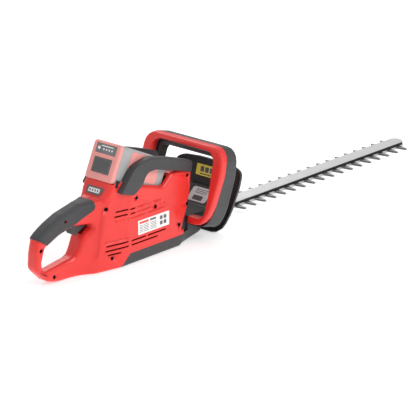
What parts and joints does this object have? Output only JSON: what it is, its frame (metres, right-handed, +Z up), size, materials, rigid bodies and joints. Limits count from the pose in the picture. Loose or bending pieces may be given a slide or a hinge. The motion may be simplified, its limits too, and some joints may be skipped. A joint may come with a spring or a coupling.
{
  "type": "cordless hedge trimmer",
  "caption": "Cordless hedge trimmer with a rear handle and trigger, a wrap-around front handle, a hand guard and a long double-sided toothed blade.",
  "frame": {"origin": "middle of the tool's length and width, on the surface that its base rests on", "axes": "+X along the blade towards its tip, +Z up, +Y to the left of a user who looks along the blade"},
  "size_m": [1.166, 0.2226, 0.2488],
  "materials": {
    "red_shell": "satin",
    "dark_shell": "fine grained",
    "black_plastic": "matte",
    "grip_rubber": "ribbed soft overmould",
    "battery_grey": "satin",
    "battery_red": "satin",
    "panel_grey": "satin",
    "white_plastic": "smooth",
    "label_yellow": "printed foil",
    "label_silver": "printed foil",
    "bar_aluminium": "brushed",
    "blade_steel": "ground",
    "machine_steel": "machined",
    "dark_steel": "blackened",
    "brass": "bare brass",
    "board_green": "solder mask"
  },
  "bodies": {
    "root": {"right_housing": "red_shell", "left_housing": "red_shell", "front_handle_rear_shell": "red_shell", "front_handle_front_shell": "dark_shell", "right_bumper": "dark_shell", "left_bumper": "dark_shell", "base_skid": "dark_shell", "gear_case": "dark_shell", "hand_guard": "black_plastic", "battery_receiver": "black_plastic", "trigger_switch": "black_plastic", "right_grip_pad": "grip_rubber", "left_grip_pad": "grip_rubber", "status_panel": "panel_grey", "rating_label": "white_plastic", "guard_label": "label_yellow", "ramp_label": "label_silver", "guide_bar": "bar_aluminium", "gear_axle": "machine_steel", "motor_end_plate": "machine_steel", "motor_bearing": "machine_steel", "trigger_pin": "machine_steel", "trigger_spring": "machine_steel", "motor_can": "dark_steel", "housing_screw_1": "dark_steel", "housing_screw_2": "dark_steel", "housing_screw_3": "dark_steel", "housing_screw_4": "dark_steel", "housing_screw_5": "dark_steel", "housing_screw_6": "dark_steel", "housing_screw_7": "dark_steel", "housing_screw_8": "dark_steel", "housing_screw_9": "dark_steel", "housing_screw_10": "dark_steel", "blade_bolt_1": "dark_steel", "blade_bolt_2": "dark_steel", "blade_bolt_3": "dark_steel", "blade_bolt_4": "dark_steel", "blade_bolt_5": "dark_steel", "terminal_block": "brass", "control_board": "board_green"},
    "trigger": {"trigger": "dark_shell"},
    "switch_bow": {"switch_bow": "dark_shell"},
    "battery": {"battery_case": "battery_grey", "battery_cover": "battery_red", "battery_panel": "panel_grey", "battery_right_inlay": "battery_red", "battery_left_inlay": "battery_red", "cell_pack": "black_plastic"},
    "battery_latch": {"battery_latch": "panel_grey"},
    "charge_button": {"charge_button": "white_plastic"},
    "motor_rotor": {"motor_shaft": "machine_steel", "motor_rotor": "brass", "motor_pinion": "machine_steel", "cooling_fan": "black_plastic"},
    "drive_gear": {"drive_gear": "brass", "upper_eccentric": "machine_steel", "lower_eccentric": "machine_steel"},
    "upper_blade": {"upper_blade": "blade_steel"},
    "lower_blade": {"lower_blade": "blade_steel"}
  },
  "joints": [
    {"name": "trigger_pull", "type": "hinge", "parent": "root", "child": "trigger", "pos_m": [-0.417, 0, 0.105], "axis": [0, 1, 0], "range_deg": [0, 6], "stiffness_Nm_per_rad": 0.6, "springref_deg": -11.46},
    {"name": "switch_bow_squeeze", "type": "slide", "parent": "root", "child": "switch_bow", "axis": [0.2516, 0, 0.9678], "range_m": [0, 0.0045], "stiffness_N_per_m": 400, "springref_m": -0.008},
    {"name": "battery_slide", "type": "slide", "parent": "root", "child": "battery", "axis": [-0.9063, 0, 0.4226], "range_m": [0, 0.09]},
    {"name": "battery_latch_press", "type": "slide", "parent": "battery", "child": "battery_latch", "axis": [0.9063, 0, -0.4226], "range_m": [0, 0.004], "stiffness_N_per_m": 600, "springref_m": -0.004},
    {"name": "charge_button_press", "type": "slide", "parent": "battery", "child": "charge_button", "axis": [0.9063, 0, -0.4226], "range_m": [0, 0.001], "stiffness_N_per_m": 400, "springref_m": -0.002},
    {"name": "motor_spin", "type": "hinge", "parent": "root", "child": "motor_rotor", "pos_m": [-0.241, 0, 0.07], "axis": [0, 0, 1], "continuous": true},
    {"name": "drive_gear_spin", "type": "hinge", "parent": "root", "child": "drive_gear", "pos_m": [-0.205, 0, 0.038], "axis": [0, 0, 1], "continuous": true},
    {"name": "upper_blade_stroke", "type": "slide", "parent": "root", "child": "upper_blade", "axis": [1, 0, 0], "range_m": [-0.008, 0.008]},
    {"name": "lower_blade_stroke", "type": "slide", "parent": "root", "child": "lower_blade", "axis": [1, 0, 0], "range_m": [-0.008, 0.008]}
  ],
  "couplings": [
    {"joint": "drive_gear_spin", "follows": "motor_spin", "ratio": -0.21951},
    {"joint": "lower_blade_stroke", "follows": "upper_blade_stroke", "ratio": -1}
  ]
}
